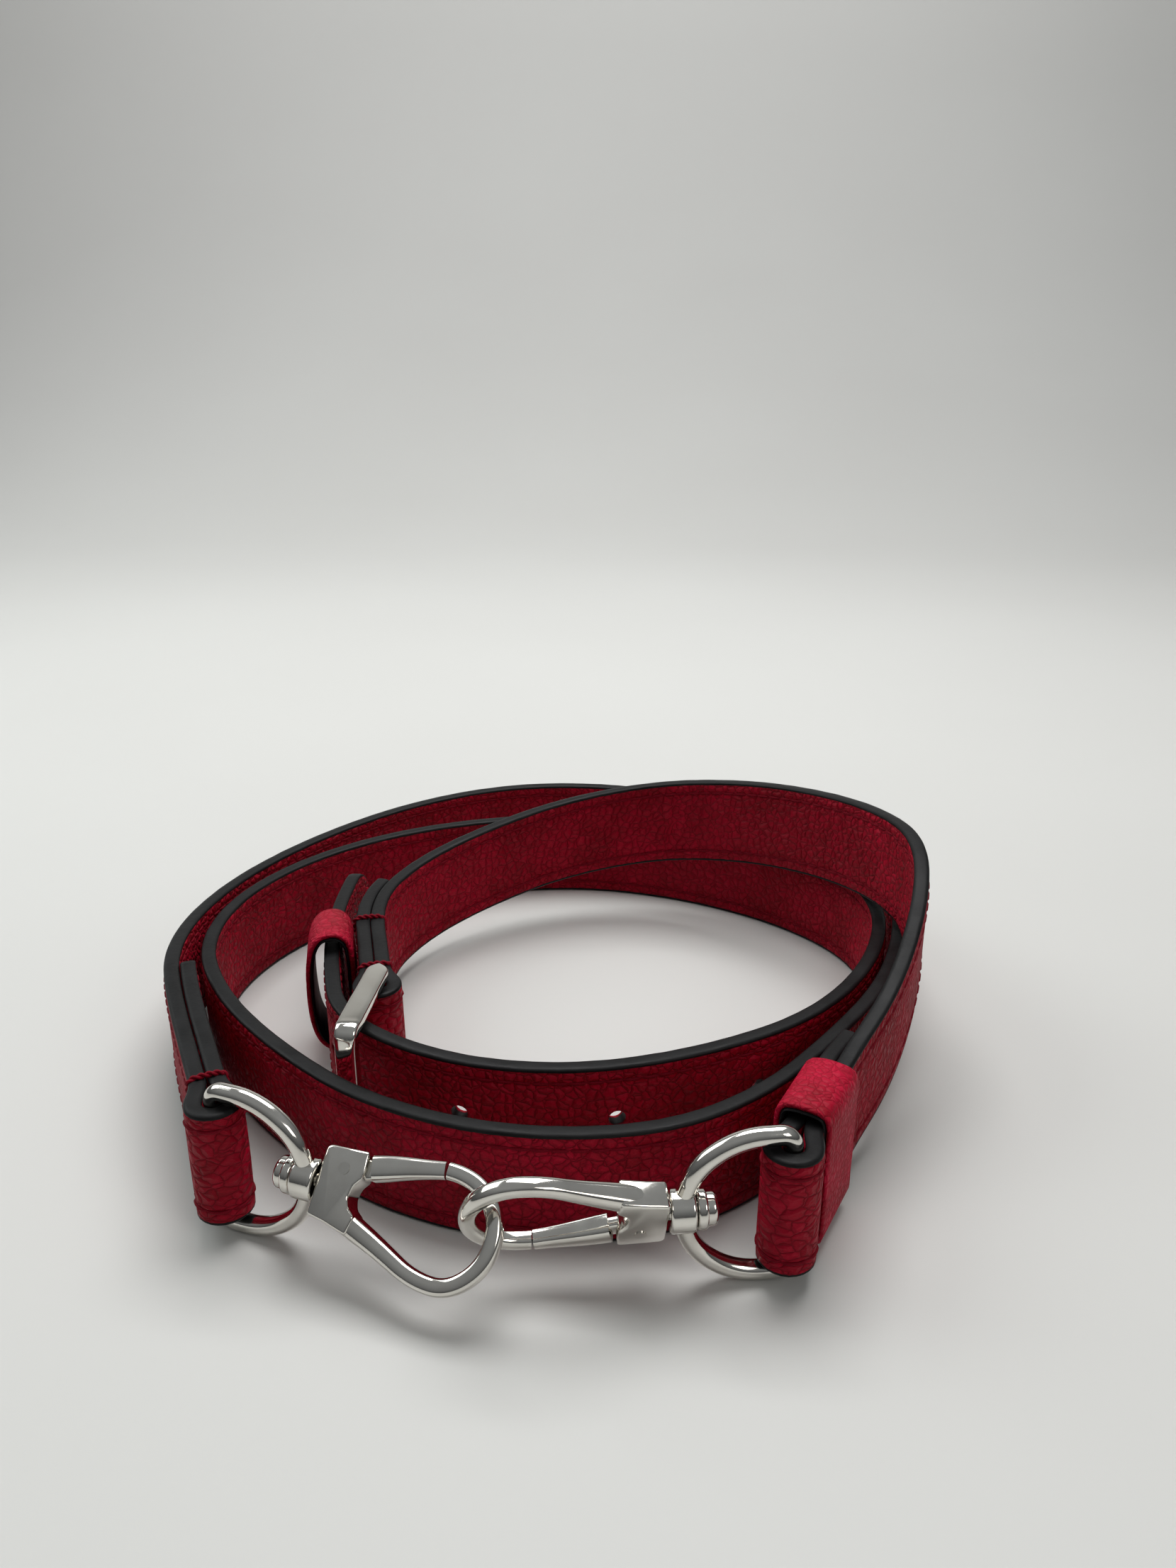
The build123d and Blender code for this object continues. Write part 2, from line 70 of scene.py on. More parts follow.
# Each strap is a list of control points: plan x, plan y and the height of its lower edge.
LONG_ROUTE = [
    (-50.6, 17.0, 3.4), (-51.6, 0.0, 3.4), (-50.2, -18.0, 3.4), (-47.6, -32.0, 3.4),
    (-43.6, -47.0, 3.4), (-33.0, -55.5, 2.4), (-18.0, -59.6, 0.6), (0.0, -60.0, 0.0),
    (20.0, -54.6, 0.0), (40.0, -43.4, 0.0), (54.5, -24.5, 0.0), (62.0, -2.0, 0.0),
    (59.0, 16.0, 0.0), (45.0, 33.0, 0.0), (24.0, 46.0, 0.0), (1.0, 52.6, 0.0),
    (-22.0, 51.0, 0.0), (-45.0, 42.6, 0.0), (-64.0, 27.0, 0.0), (-75.6, 6.0, 0.0),
    (-76.6, -16.0, 0.0), (-67.6, -35.4, 0.0), (-53.0, -53.0, 0.0), (-35.4, -68.4, 0.0),
    (-13.0, -77.0, 0.0), (10.5, -76.4, 0.0), (27.6, -66.8, 0.0), (41.6, -50.8, 0.0),
    (55.2, -32.0, 0.0), (64.0, -10.0, 0.0), (67.4, 12.0, 0.0), (62.0, 34.0, 0.0),
    (47.0, 53.0, 0.0), (25.0, 68.6, 0.0), (0.0, 76.4, 0.0), (-24.0, 74.0, 0.0),
    (-46.0, 61.0, 0.0), (-64.0, 41.0, 0.0), (-76.6, 19.0, 0.0), (-81.6, -3.0, 0.9),
    (-80.0, -24.0, 2.9), (-74.4, -40.0, 3.4),
]
LONG_TAB = [(-71.7, -38.8, 3.4), (-74.7, -30.2, 3.4)]
SHORT_TAB = [(43.9, -54.4, 3.4), (38.7, -61.4, 3.4)]
SHORT_ROUTE = [
    (41.2, -63.0, 3.4), (52.6, -47.8, 8.4), (60.6, -32.0, 17.2), (64.6, -14.6, 21.5),
    (61.6, 1.6, 21.0), (52.0, 17.6, 19.4), (37.0, 31.6, 16.9), (17.0, 40.6, 13.5),
    (-6.0, 38.4, 9.7), (-25.0, 27.6, 6.4), (-38.4, 14.6, 3.9), (-44.4, -3.4, 3.4),
]
BUCKLE_TAB = [(-47.3, -3.2, 3.4), (-44.2, 6.6, 3.4)]

HOLES = [38.0 + 26.0 * number for number in range(5)]     # from the tip
HOLE_R = 1.5
PRONG_HOLE = 1                    # the hole that holds the prong, counting from 0
PRONG_STRETCH = 2.4               # that hole is drawn out along the strap this many times

# Stations along the straps, in millimetres.
STRAP_STEP = 0.8
TIP_STATIONS = [0.02, 0.1, 0.3, 0.6, 1.0, 1.5, 2.1, 2.8]     # where the rounded tip turns fastest
TIP_RUN = 3.2                     # even steps start here
THREAD_STEP = 0.42
THREAD_R = 0.3
TIP_CLEAR = 8.0                   # the stitching starts this far from the rounded tip
END_CLEAR = 0.6                   # and stops this far from a square end

# How the leather moves, in millimetres.
CREASE_DEEP = 0.3
CREASE_RADIUS = 45                # bends of this radius and tighter crease fully
SWELL = 0.07
EDGE_WAVE = 0.1

# Each strap has a leather face on its right and a lining on its left, seen along its route.
FACES = (("outer", -1), ("lining", 1))


# ---------------------------------------------------------------- routes
def around(bar, corner, side):
    """Control points of a strap that comes from a corner, goes round a bar and comes back."""
    reach = bar - Vector(corner[:2])
    heading = Matrix.Rotation(-asin(side * FOLD_HALF / reach.length), 2) @ reach.normalized()
    across = Vector((-heading.y, heading.x)) * side
    flare = 1.263                 # an octagon round the bar has its corners this far off its middle
    loop = [(-9.0, -FOLD_HALF), (-4.9, -FOLD_HALF), (-flare, -FOLD_R), (flare, -FOLD_R), (FOLD_R, -flare)]
    loop += [(along, -aside) for along, aside in reversed(loop)]
    points = [bar + heading * along + across * aside for along, aside in loop]
    return [(point.x, point.y, LIFT) for point in points]


def spline(points, cyclic=False):
    """The points of a smooth curve whose control points are given, in the frame, in millimetres."""
    data = bpy.data.curves.new("route", "CURVE")
    data.dimensions = "3D"
    data.resolution_u = 24
    line = data.splines.new("NURBS")
    line.points.add(len(points) - 1)
    for control, point in zip(line.points, points):
        control.co = (*point, 1.0)
    line.order_u = 3
    line.use_endpoint_u = not cyclic
    line.use_cyclic_u = cyclic
    holder = bpy.data.objects.new("route", data)
    bpy.context.scene.collection.objects.link(holder)
    bpy.context.view_layer.update()
    mesh = bpy.data.meshes.new_from_object(holder.evaluated_get(bpy.context.evaluated_depsgraph_get()))
    found = [vertex.co.copy() for vertex in mesh.vertices]
    bpy.data.objects.remove(holder)
    bpy.data.meshes.remove(mesh)
    return found + found[:1] if cyclic else found


class Station:
    """A place along a route: point, direction across the band, direction up it, distance, bend."""

    def __init__(self, point, across, up, far, bend):
        self.point, self.across, self.up, self.far, self.bend = point, across, up, far, bend


def walk(points, distances):
    """Points and headings at distances along a line of points."""
    found, first, passed = [], 0, 0.0
    gap = (points[1] - points[0]).length
    for distance in distances:
        while distance > passed + gap and first < len(points) - 2:
            passed += gap
            first += 1
            gap = (points[first + 1] - points[first]).length
        share = 0.0 if gap == 0 else (distance - passed) / gap
        found.append((points[first].lerp(points[first + 1], share), points[first + 1] - points[first]))
    return found


def length_of(points):
    return sum((b - a).length for a, b in zip(points, points[1:]))


def flat(vector):
    return Vector((vector.x, vector.y, 0.0)).normalized()


def standing(points, step, start=0.0, end=None):
    """Stations of a strap that stands on its edge, with more of them where it is pointed."""
    total = length_of(points)
    end = total if end is None else end
    count = max(2, round((end - start) / step))
    distances = [start + (end - start) * number / count for number in range(count + 1)]
    if start == 0.0:
        distances = TIP_STATIONS + [distance for distance in distances if distance > TIP_RUN]
    places = walk(points, distances)
    stations = []
    for number, (point, _) in enumerate(places):
        back = max(0, number - 2)
        ahead = min(len(places) - 1, number + 2)
        before = flat(places[back][1])
        after = flat(places[ahead][1])
        bend = before.cross(after).z / max(distances[ahead] - distances[back], 0.01)
        smooth = flat(before + after)
        across = Vector((-smooth.y, smooth.x, 0.0))
        stations.append(Station(point, across, Vector((0, 0, 1)), distances[number], bend))
    return stations


# ---------------------------------------------------------------- meshes
def put(name, bm, finish, body):
    """A finished piece from a bmesh in the frame's metres."""
    bmesh.ops.recalc_face_normals(bm, faces=bm.faces)
    mesh = bpy.data.meshes.new(name)
    bm.to_mesh(mesh)
    bm.free()
    piece = bpy.data.objects.new(name, mesh)
    bpy.context.scene.collection.objects.link(piece)
    mesh.materials.append(finish)
    mesh.shade_smooth()
    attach(piece, body)
    return piece


def add_band(bm, stations, outline, vary=None):
    """A closed outline of (across, up) points carried along the stations; its ends are left open here, for
    close_up to fill.
    """
    loop = outline + outline[:1]
    uv = bm.loops.layers.uv.verify()
    rows, columns = len(stations) - 1, len(loop) - 1
    made = bmesh.ops.create_grid(bm, x_segments=rows, y_segments=columns, size=1.0)["verts"]
    rounds = [0.0]
    for (a, b), (c, d) in zip(loop, loop[1:]):
        rounds.append(rounds[-1] + sqrt((c - a) ** 2 + (d - b) ** 2))
    place = {}
    for vertex in made:
        row = round((vertex.co.x + 1) / 2 * rows)
        column = round((vertex.co.y + 1) / 2 * columns)
        place[vertex] = (row, column)
    for face in {face for vertex in made for face in vertex.link_faces}:
        for corner in face.loops:
            row, column = place[corner.vert]
            corner[uv].uv = (stations[row].far * MM, rounds[column] * MM)
    for vertex, (row, column) in place.items():
        station = stations[row]
        across, up = loop[column]
        if vary:
            across, up = vary(station, across, up)
        vertex.co = (station.point + station.across * across + station.up * up) * MM


def close_up(bm):
    bmesh.ops.remove_doubles(bm, verts=bm.verts, dist=2e-6)
    bmesh.ops.holes_fill(bm, edges=[edge for edge in bm.edges if edge.is_boundary], sides=0)


def band(name, stations, outline, finish, body, vary=None):
    bm = bmesh.new()
    add_band(bm, stations, outline, vary)
    close_up(bm)
    return put(name, bm, finish, body)


def ring_outline(radius, count):
    return [(radius * cos(2 * pi * n / count), radius * sin(2 * pi * n / count)) for n in range(count)]


def slab_outline():
    """The stiffener with its painted edges, which swell a little past the leather faces."""
    half, waist, tall = HALF, HALF - 0.28, WIDTH
    low = [(-waist, 1.2), (-half + 0.02, 0.62), (-half, 0.4), (-half + 0.2, 0.12), (-0.7, 0.0), (0.0, -0.02)]
    low += [(-across, up) for across, up in reversed(low[:-1])]
    high = [(-across, tall - up) for across, up in low]
    return low + [(waist, 7.0), (waist, 13.0)] + high + [(-waist, 13.0), (-waist, 7.0)]


def face_outline(side):
    """One leather face: thin, with its two stitch grooves and its edges turned under the paint."""
    top = HALF + 0.03
    ups = [(RIM - 0.1, -0.28), (RIM, -0.12), (RIM + 0.22, -0.02), (1.6, 0.0), (SEAM - 0.42, 0.0)]
    ups += [(SEAM, -0.3), (SEAM + 0.42, 0.0), (4.3, 0.02), (6.2, 0.03), (8.2, 0.03), (10.0, 0.03)]
    line = [(top + deep, up) for up, deep in ups]
    line += [(across, WIDTH - up) for across, up in reversed(line[:-1])]
    inner = HALF - 0.55
    line += [(inner, WIDTH - RIM), (inner, RIM)]
    return [(side * across, up) for across, up in line]


def pointed(station, up):
    """Rounds the free tip of the long strap."""
    half = WIDTH / 2
    if station.far >= half:
        return up
    return half + (up - half) * sqrt(max(0.0, 1 - (1 - station.far / half) ** 2))


def strap_shape(side, tip, seed):
    """How a leather face moves: creases on the inside of bends, a soft unevenness, a wavy edge."""
    def vary(station, across, up):
        middle = min(up, WIDTH - up)
        squeeze = max(0.0, min(1.0, side * station.bend * CREASE_RADIUS))
        crease = noise.noise(Vector((station.far / 2.1, up / 16, seed)))
        swell = noise.noise(Vector((station.far / 9, up / 7, seed + 7)))
        inside = min(1.0, middle / 2.0)
        lift = inside * (CREASE_DEEP * squeeze * crease + SWELL * swell)
        if abs(across) > HALF - 0.5:
            across += side * lift
        if middle < 1.0:
            inwards = 1 if up < WIDTH / 2 else -1
            up += inwards * EDGE_WAVE * noise.noise(Vector((station.far / 1.3, up, seed)))
        return across, pointed(station, up) if tip else up
    return vary


def slab_shape(tip, seed):
    def vary(station, across, up):
        rough = 0.05 * noise.noise(Vector((station.far / 3.0, across, up + seed)))
        up += rough if up > WIDTH / 2 else abs(rough)
        return across, pointed(station, up) if tip else up
    return vary


def thread_shape(side, level):
    """A thread that dives under the leather between stitches."""
    def vary(station, across, up):
        phase = abs(sin(pi * station.far / STITCH))
        rise = HALF - 0.5 + 0.46 * min(1.0, phase * 2.0)
        return side * rise + across, level + up
    return vary


# ---------------------------------------------------------------- materials
def socket(group, name, kind, way, value=None):
    made = group.interface.new_socket(name=name, in_out=way, socket_type=kind)
    if value is not None:
        made.default_value = value


class Wiring:
    """Adds nodes to a tree and links them. An input called i0, i1 and so on is found by its number."""

    def __init__(self, tree):
        self.tree = tree

    def add(self, kind, settings=None, **inputs):
        node = self.tree.nodes.new(kind)
        for name, value in (settings or {}).items():
            setattr(node, name, value)
        for name, value in inputs.items():
            numbered = name[0] == "i" and name[1:].isdigit()
            self.join(value, node.inputs[int(name[1:]) if numbered else name])
        return node

    def join(self, value, place):
        if isinstance(value, bpy.types.NodeSocket):
            self.tree.links.new(value, place)
        else:
            place.default_value = value

    def math(self, way, *values):
        node = self.add("ShaderNodeMath", {"operation": way})
        for number, value in enumerate(values):
            self.join(value, node.inputs[number])
        return node.outputs[0]

    def spread(self, value, low, high, to_low=0.0, to_high=1.0):
        node = self.add("ShaderNodeMapRange", {"clamp": True})
        for name, amount in (("Value", value), ("From Min", low), ("From Max", high),
                             ("To Min", to_low), ("To Max", to_high)):
            self.join(amount, node.inputs[name])
        return node.outputs["Result"]

    def mix(self, share, one, other):
        node = self.add("ShaderNodeMix", {"data_type": "RGBA"})
        for number, value in ((0, share), (6, one), (7, other)):
            self.join(value, node.inputs[number])
        return node.outputs[2]


def group_start(name, inputs, outputs):
    tree = bpy.data.node_groups.new(name, "ShaderNodeTree")
    for label, kind, value in inputs:
        socket(tree, label, kind, "INPUT", value)
    for label, kind in outputs:
        socket(tree, label, kind, "OUTPUT")
    return Wiring(tree), tree.nodes.new("NodeGroupInput"), tree.nodes.new("NodeGroupOutput")


def pebble_group():
    """Tumbled leather: cushions between creases, with finer pores over them, and a crease mask for painted
    shade.
    """
    wires, given, out = group_start(
        "pebbled_grain",
        [("Vector", "NodeSocketVector", None), ("Pebble", "NodeSocketFloat", 700.0)],
        [("Height", "NodeSocketFloat"), ("Crease", "NodeSocketFloat"), ("Tone", "NodeSocketFloat")],
    )
    drift = wires.add("ShaderNodeTexNoise", Vector=given.outputs["Vector"], Scale=450.0, Detail=2.0)
    push = wires.add("ShaderNodeVectorMath", {"operation": "SCALE"}, i0=drift.outputs["Color"], Scale=0.0016)
    moved = wires.add("ShaderNodeVectorMath", {"operation": "ADD"},
                      i0=given.outputs["Vector"], i1=push.outputs[0])
    cells = wires.add("ShaderNodeTexVoronoi", {"feature": "DISTANCE_TO_EDGE"},
                      Vector=moved.outputs[0], Scale=given.outputs["Pebble"])
    shade = wires.add("ShaderNodeTexVoronoi", {"feature": "F1"},
                      Vector=moved.outputs[0], Scale=given.outputs["Pebble"])
    pores = wires.add("ShaderNodeTexNoise", Vector=given.outputs["Vector"], Scale=3800.0, Detail=3.0)
    cushion = wires.math("POWER", wires.spread(cells.outputs["Distance"], 0.0, 0.42), 0.65)
    height = wires.math("ADD", cushion, wires.math("MULTIPLY", pores.outputs["Fac"], 0.16))
    wires.join(height, out.inputs["Height"])
    # Crease: a mask of the creases between pebbles, where painted shade goes into the leather's colour
    wires.join(wires.spread(cells.outputs["Distance"], 0.0, 0.09, 1.0, 0.0), out.inputs["Crease"])
    wires.join(shade.outputs["Color"], out.inputs["Tone"])
    return wires.tree


def wear_group():
    """Slow changes of tone and gloss from handling, and a few fine rubs."""
    wires, given, out = group_start(
        "handling",
        [("Vector", "NodeSocketVector", None), ("Patch", "NodeSocketFloat", 60.0)],
        [("Patches", "NodeSocketFloat"), ("Rubs", "NodeSocketFloat")],
    )
    slow = wires.add("ShaderNodeTexNoise",
                     Vector=given.outputs["Vector"], Scale=given.outputs["Patch"], Detail=4.0)
    fine = wires.add("ShaderNodeTexNoise", Vector=given.outputs["Vector"], Scale=2600.0, Detail=2.0)
    wires.join(wires.spread(slow.outputs["Fac"], 0.3, 0.7), out.inputs["Patches"])
    wires.join(wires.spread(fine.outputs["Fac"], 0.55, 0.75), out.inputs["Rubs"])
    return wires.tree


PEBBLES = pebble_group()
HANDLING = wear_group()


def finish_start(name):
    made = bpy.data.materials.new(name)
    made.use_nodes = True
    return made, Wiring(made.node_tree), made.node_tree.nodes["Principled BSDF"]


def use(wires, group, **inputs):
    return wires.add("ShaderNodeGroup", {"node_tree": group}, **inputs)


def leather_finish(name, deep, bright, pebble, relief):
    made, wires, skin = finish_start(name)
    coordinates = wires.add("ShaderNodeTexCoord").outputs["UV"]
    grain = use(wires, PEBBLES, Vector=coordinates, Pebble=pebble)
    touch = use(wires, HANDLING, Vector=coordinates, Patch=90.0)
    tone = wires.math("ADD", wires.math("MULTIPLY", grain.outputs["Tone"], 0.35),
                      wires.math("MULTIPLY", touch.outputs["Patches"], 0.5))
    colour = wires.mix(tone, deep, bright)
    # Painted shade: the base colour is darkened in the creases between pebbles
    painted_crease_shade = (deep[0] * 0.45, deep[1] * 0.4, deep[2] * 0.4, 1.0)
    colour = wires.mix(wires.math("MULTIPLY", grain.outputs["Crease"], 0.4), colour, painted_crease_shade)
    wires.join(colour, skin.inputs["Base Color"])
    gloss = wires.spread(grain.outputs["Height"], 0.2, 1.1, 0.64, 0.42)
    wires.join(wires.math("ADD", gloss, wires.math("MULTIPLY", touch.outputs["Patches"], 0.06)),
               skin.inputs["Roughness"])
    skin.inputs["Specular IOR Level"].default_value = 0.14
    bump = wires.add("ShaderNodeBump", Strength=relief, Distance=0.00055, Height=grain.outputs["Height"])
    wires.join(bump.outputs["Normal"], skin.inputs["Normal"])
    return made


def paint_finish():
    made, wires, skin = finish_start("edge_paint_black")
    coordinates = wires.add("ShaderNodeTexCoord").outputs["Object"]
    touch = use(wires, HANDLING, Vector=coordinates, Patch=160.0)
    colour = wires.mix(touch.outputs["Patches"], (0.003, 0.003, 0.0033, 1.0), (0.009, 0.009, 0.0095, 1.0))
    wires.join(colour, skin.inputs["Base Color"])
    wires.join(wires.spread(touch.outputs["Patches"], 0.0, 1.0, 0.4, 0.55), skin.inputs["Roughness"])
    skin.inputs["Specular IOR Level"].default_value = 0.14
    lumps = wires.add("ShaderNodeTexNoise", Vector=coordinates, Scale=900.0, Detail=3.0)
    bump = wires.add("ShaderNodeBump", Strength=0.35, Distance=0.00015, Height=lumps.outputs["Fac"])
    wires.join(bump.outputs["Normal"], skin.inputs["Normal"])
    return made


def thread_finish():
    made, wires, skin = finish_start("waxed_thread_red")
    coordinates = wires.add("ShaderNodeTexCoord").outputs["Object"]
    fibres = wires.add("ShaderNodeTexNoise", Vector=coordinates, Scale=5200.0, Detail=3.0)
    colour = wires.mix(fibres.outputs["Fac"], (0.07, 0.0004, 0.004, 1.0), (0.27, 0.001, 0.014, 1.0))
    wires.join(colour, skin.inputs["Base Color"])
    wires.join(wires.spread(fibres.outputs["Fac"], 0.3, 0.7, 0.72, 0.55), skin.inputs["Roughness"])
    skin.inputs["Specular IOR Level"].default_value = 0.1
    bump = wires.add("ShaderNodeBump", Strength=0.5, Distance=0.00008, Height=fibres.outputs["Fac"])
    wires.join(bump.outputs["Normal"], skin.inputs["Normal"])
    return made


def nickel_finish():
    made, wires, skin = finish_start("polished_nickel_plate")
    coordinates = wires.add("ShaderNodeTexCoord").outputs["Object"]
    touch = use(wires, HANDLING, Vector=coordinates, Patch=240.0)
    colour = wires.mix(touch.outputs["Patches"], (0.70, 0.67, 0.62, 1.0), (0.78, 0.76, 0.71, 1.0))
    wires.join(colour, skin.inputs["Base Color"])
    smear = wires.spread(touch.outputs["Patches"], 0.0, 1.0, 0.07, 0.13)
    rubs = wires.math("MULTIPLY", touch.outputs["Rubs"], 0.05)
    wires.join(wires.math("ADD", smear, rubs), skin.inputs["Roughness"])
    skin.inputs["Metallic"].default_value = 1.0
    stretch = wires.add("ShaderNodeMapping", Vector=coordinates, Scale=(260.0, 260.0, 40.0))
    lines = wires.add("ShaderNodeTexNoise", Vector=stretch.outputs[0], Scale=9.0, Detail=4.0)
    bump = wires.add("ShaderNodeBump", Strength=0.03, Distance=0.00005, Height=lines.outputs["Fac"])
    wires.join(bump.outputs["Normal"], skin.inputs["Normal"])
    return made


def floor_finish():
    made, wires, skin = finish_start("pale_tabletop")
    coordinates = wires.add("ShaderNodeTexCoord").outputs["Object"]
    cloud = wires.add("ShaderNodeTexNoise", Vector=coordinates, Scale=3.0, Detail=3.0)
    wires.join(wires.mix(cloud.outputs["Fac"], (0.55, 0.545, 0.525, 1.0), (0.60, 0.60, 0.58, 1.0)),
               skin.inputs["Base Color"])
    wires.join(wires.spread(cloud.outputs["Fac"], 0.3, 0.7, 0.5, 0.6), skin.inputs["Roughness"])
    return made


RED_DEEP, RED_BRIGHT = (0.20, 0.0, 0.006, 1.0), (0.46, 0.0004, 0.024, 1.0)
LEATHER = leather_finish("crimson_pebbled_leather", RED_DEEP, RED_BRIGHT, 600.0, 1.0)
KEEPER_LEATHER = leather_finish("crimson_keeper_leather", RED_DEEP, (0.60, 0.004, 0.045, 1.0), 820.0, 0.42)
PAINT = paint_finish()
THREAD = thread_finish()
NICKEL = nickel_finish()


# ---------------------------------------------------------------- straps
def in_frame(points):
    return [Vector(point) + PLAN_SHIFT for point in points]


long_points = spline(in_frame(LONG_ROUTE + around(LEFT_BAR, LONG_ROUTE[-1], 1) + LONG_TAB))
right_fold = list(reversed(around(RIGHT_BAR, SHORT_ROUTE[0], -1)))
buckle_fold = around(BUCKLE_BAR, SHORT_ROUTE[-1], -1)
short_points = spline(in_frame(SHORT_TAB + right_fold + SHORT_ROUTE + buckle_fold + BUCKLE_TAB))

# Each strap's line of points, whether it starts at a rounded tip, and the seed of its unevenness.
STRAPS = {"long_strap": (long_points, True, 3.0), "short_strap": (short_points, False, 31.0)}


def punches():
    """Pins that cut the punched holes, the prong's one drawn out along the strap."""
    bm = bmesh.new()
    for number, (point, heading) in enumerate(walk(long_points, HOLES)):
        along = flat(heading)
        across = Vector((-along.y, along.x, 0.0))
        turn = Matrix((along, Vector((0, 0, 1)), across)).transposed().to_4x4()
        pin = Matrix.Translation((point + Vector((0, 0, WIDTH / 2))) * MM) @ turn
        stretch = Matrix.Diagonal((PRONG_STRETCH if number == PRONG_HOLE else 1.0, 1.0, 1.0, 1.0))
        bmesh.ops.create_cone(bm, cap_ends=True, segments=28, radius1=HOLE_R * MM, radius2=HOLE_R * MM,
                              depth=4 * THICK * MM, matrix=pin @ stretch)
    bmesh.ops.recalc_face_normals(bm, faces=bm.faces)
    mesh = bpy.data.meshes.new("punches")
    bm.to_mesh(mesh)
    bm.free()
    return bpy.data.objects.new("punches", mesh)


def punch(piece, cutter):
    """Cuts the holes into a piece's own mesh."""
    cut = piece.modifiers.new("holes", "BOOLEAN")
    cut.operation = "DIFFERENCE"
    cut.object = cutter
    cut.solver = "EXACT"
    bpy.context.view_layer.update()
    whole = bpy.data.meshes.new_from_object(piece.evaluated_get(bpy.context.evaluated_depsgraph_get()))
    piece.modifiers.remove(cut)
    piece.data = whole


cutter = punches()
bpy.context.scene.collection.objects.link(cutter)
for strap, (points, tip, seed) in STRAPS.items():
    stations = standing(points, STRAP_STEP)
    rough = slab_shape(tip, seed)
    slab = band(f"{strap}_edge", stations, slab_outline(), PAINT, "strap", rough)
    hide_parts(f"{strap}_core")
    pieces = [slab]
    for layer, side in FACES:
        name = f"{strap}_{layer}_leather"
        vary = strap_shape(side, tip, seed + side)
        face = band(name, stations, face_outline(side), LEATHER, "strap", vary)
        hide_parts(f"{strap}_{layer}")
        pieces.append(face)
    if tip:
        for piece in pieces:
            punch(piece, cutter)
    fine = standing(points, THREAD_STEP, TIP_CLEAR if tip else END_CLEAR, length_of(points) - END_CLEAR)
    for layer, side in FACES:
        bm = bmesh.new()
        for level in (SEAM, WIDTH - SEAM):
            add_band(bm, fine, ring_outline(THREAD_R, 6), thread_shape(side, level))
        close_up(bm)
        put(f"{strap}_{layer}_stitching", bm, THREAD, "strap")
bpy.data.objects.remove(cutter)


# ---------------------------------------------------------------- keepers and thread tacks
KEEPER_THICK = 1.4
KEEPER_STEP = 0.7                 # between stations round it
LOOP_LONG = 11.8                  # keeper by the buckle, along the strap
LOOP_ASIDE = 5.0                  # its route starts from here, to the left of the CAD loop's middle
SLEEVE_LONG = 14.4
SLEEVE_AHEAD = 1.2                # its middle, past the CAD sleeve's along the strap

# Both keepers' routes round the strap, as (to the strap's left, up from its middle).
LOOP_SHAPE = [(-2.15, -8.5), (-2.15, 8.5), (-2.9, 11.9), (-5.4, 13.2), (-8.6, 12.0), (-10.2, 6.5),
              (-10.2, -4.5), (-8.8, -9.6), (-6.0, -11.4), (-2.8, -11.0)]
SLEEVE_SHAPE = [(-2.3, -6.0), (-2.3, 6.0), (-2.35, 10.4), (-1.2, 11.8), (4.2, 11.8), (5.3, 10.4),
                (5.25, 6.0), (5.25, -6.0), (5.25, -10.4), (4.3, -11.1), (-1.3, -11.1), (-2.3, -10.4)]


def crosswise(centre, heading, loop, step, cyclic=True):
    """Stations round a strap: loop points are (to the strap's left, up) from its middle."""
    along = flat(heading)
    left = Vector((-along.y, along.x, 0.0))
    points = spline([centre + left * aside + Vector((0, 0, up)) for aside, up in loop], cyclic)
    total = length_of(points)
    count = round(total / step)
    distances = [total * number / count for number in range(count + 1)]
    middle = centre + left * sum(aside for aside, _ in loop) / len(loop)
    stations = []
    for distance, (point, way) in zip(distances, walk(points, distances)):
        out = way.normalized().cross(along)
        if out.dot(point - middle) < 0:
            out = -out
        stations.append(Station(point, out, along, distance, 0.0))
    if cyclic:
        stations[-1].point = stations[0].point.copy()
        stations[-1].across = stations[0].across.copy()
    return stations


def belt_outline(long, thick, rim=0.0):
    """A flat band's section, long in the direction of the strap, with softened corners."""
    half = long / 2 - rim
    deep = thick / 2
    cut = 0.12                    # off a square corner, at its middle
    corner = [(deep, half - 0.5), (deep - cut, half - cut), (deep - 0.4, half)]
    corner += [(-across, up) for across, up in reversed(corner)]
    return corner + [(-across, -up) for across, up in corner]


def keeper(name, node, body, stations, long, seed):
    """A belt of leather with a painted lining inside it, carried round a strap."""
    around_once = stations[-1].far

    def soft(station, across, up):
        turn = 2 * pi * station.far / around_once
        wobble = noise.noise(Vector((cos(turn) * 3, sin(turn) * 3, up / 3 + seed)))
        return across + (0.07 * wobble if across > 0 else 0.0), up + 0.12 * wobble

    # The lining takes 0.42 of the thickness and the leather 0.62, one on each side of where they meet.
    lining = belt_outline(long, 0.42 * KEEPER_THICK)
    lining = [(across - 0.32 * KEEPER_THICK, up) for across, up in lining]
    band(name + "_lining", stations, lining, PAINT, body, soft)
    leather = belt_outline(long, 0.62 * KEEPER_THICK, 0.12)
    leather = [(across + 0.2 * KEEPER_THICK, up) for across, up in leather]
    outer = band(name + "_leather", stations, leather, KEEPER_LEATHER, body, soft)
    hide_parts(node)


def cad_middle(node):
    low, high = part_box(node)
    return (low + high) / 2 / MM


def heading_near(points, target):
    """A route's heading where it passes closest to a place in plan."""
    best = min(range(len(points) - 1), key=lambda n: (points[n].xy - target.xy).length)
    return points[best + 1] - points[best]


loop_middle = cad_middle("keeper_loop")
bar = Vector((*BUCKLE_BAR, 0.0)) + PLAN_SHIFT
corner = Vector(SHORT_ROUTE[-1]) + PLAN_SHIFT
loop_heading = flat(bar - corner)
loop_left = Vector((-loop_heading.y, loop_heading.x, 0.0))
loop_centre = Vector((loop_middle.x, loop_middle.y, BAR_HIGH)) + loop_left * LOOP_ASIDE
loop_round = crosswise(loop_centre, loop_heading, LOOP_SHAPE, KEEPER_STEP)
keeper("keeper_by_buckle", "keeper_loop", "strap", loop_round, LOOP_LONG, 5.0)

